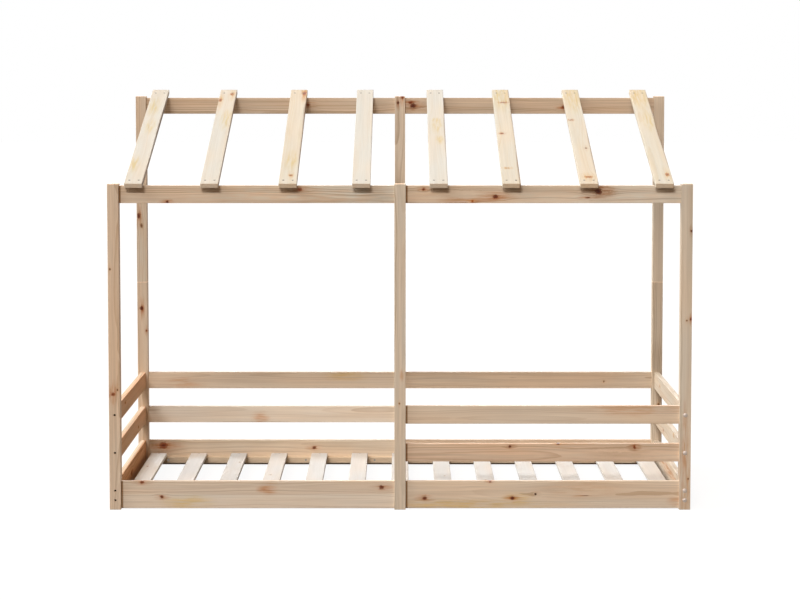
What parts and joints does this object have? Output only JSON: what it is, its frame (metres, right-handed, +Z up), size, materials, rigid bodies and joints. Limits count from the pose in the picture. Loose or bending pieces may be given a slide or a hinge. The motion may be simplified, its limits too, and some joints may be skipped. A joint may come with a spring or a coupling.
{
  "type": "kids house bed with slatted lean-to roof",
  "caption": "Low solid pine kids bed with guard rails, an open entry in one half of the front, a slatted base and a single-slope roof of open slats on tall posts.",
  "frame": {"origin": "on the floor, under the middle of the bed", "axes": "+X along the bed, to the right end as seen from the open front side; +Y from the front side to the rear; +Z up"},
  "size_m": [2.06, 0.9962, 1.4781],
  "materials": {
    "frame_pine": "planed, unvarnished, knotty",
    "slat_pine": "planed, unvarnished, pale",
    "roof_slat_pine": "planed, unvarnished, pale, knotty",
    "fastener_steel": "zinc plated",
    "dowel_beech": "plain turned beech"
  },
  "bodies": {
    "root": {"front_left_post": "frame_pine", "front_centre_post": "frame_pine", "front_right_post": "frame_pine", "rear_left_post_lower": "frame_pine", "rear_centre_post_lower": "frame_pine", "rear_right_post_lower": "frame_pine", "rear_left_post_upper": "frame_pine", "rear_centre_post_upper": "frame_pine", "rear_right_post_upper": "frame_pine", "front_side_board_left": "frame_pine", "front_side_board_right": "frame_pine", "rear_side_board_left": "frame_pine", "rear_side_board_right": "frame_pine", "left_end_board": "frame_pine", "right_end_board": "frame_pine", "left_end_rail_lower": "frame_pine", "left_end_rail_upper": "frame_pine", "right_end_rail_lower": "frame_pine", "right_end_rail_upper": "frame_pine", "front_guard_rail_lower": "frame_pine", "front_guard_rail_upper": "frame_pine", "rear_guard_rail_left_lower": "frame_pine", "rear_guard_rail_left_upper": "frame_pine", "rear_guard_rail_right_lower": "frame_pine", "rear_guard_rail_right_upper": "frame_pine", "front_roof_rail_left": "frame_pine", "front_roof_rail_right": "frame_pine", "rear_roof_rail_left": "frame_pine", "rear_roof_rail_right": "frame_pine", "front_ledge_left": "slat_pine", "front_ledge_right": "slat_pine", "rear_ledge_left": "slat_pine", "rear_ledge_right": "slat_pine", "bed_slat_01": "slat_pine", "bed_slat_02": "slat_pine", "bed_slat_03": "slat_pine", "bed_slat_04": "slat_pine", "bed_slat_05": "slat_pine", "bed_slat_06": "slat_pine", "bed_slat_07": "slat_pine", "bed_slat_08": "slat_pine", "bed_slat_09": "slat_pine", "bed_slat_10": "slat_pine", "bed_slat_11": "slat_pine", "bed_slat_12": "slat_pine", "bed_slat_13": "slat_pine", "roof_slat_1": "roof_slat_pine", "roof_slat_2": "roof_slat_pine", "roof_slat_3": "roof_slat_pine", "roof_slat_4": "roof_slat_pine", "roof_slat_5": "roof_slat_pine", "roof_slat_6": "roof_slat_pine", "roof_slat_7": "roof_slat_pine", "roof_slat_8": "roof_slat_pine", "frame_bolts": "fastener_steel", "barrel_nuts": "fastener_steel", "centre_studs": "fastener_steel", "roof_slat_screws": "fastener_steel", "bed_base_screws": "fastener_steel", "dowels": "dowel_beech"}
  },
  "joints": []
}
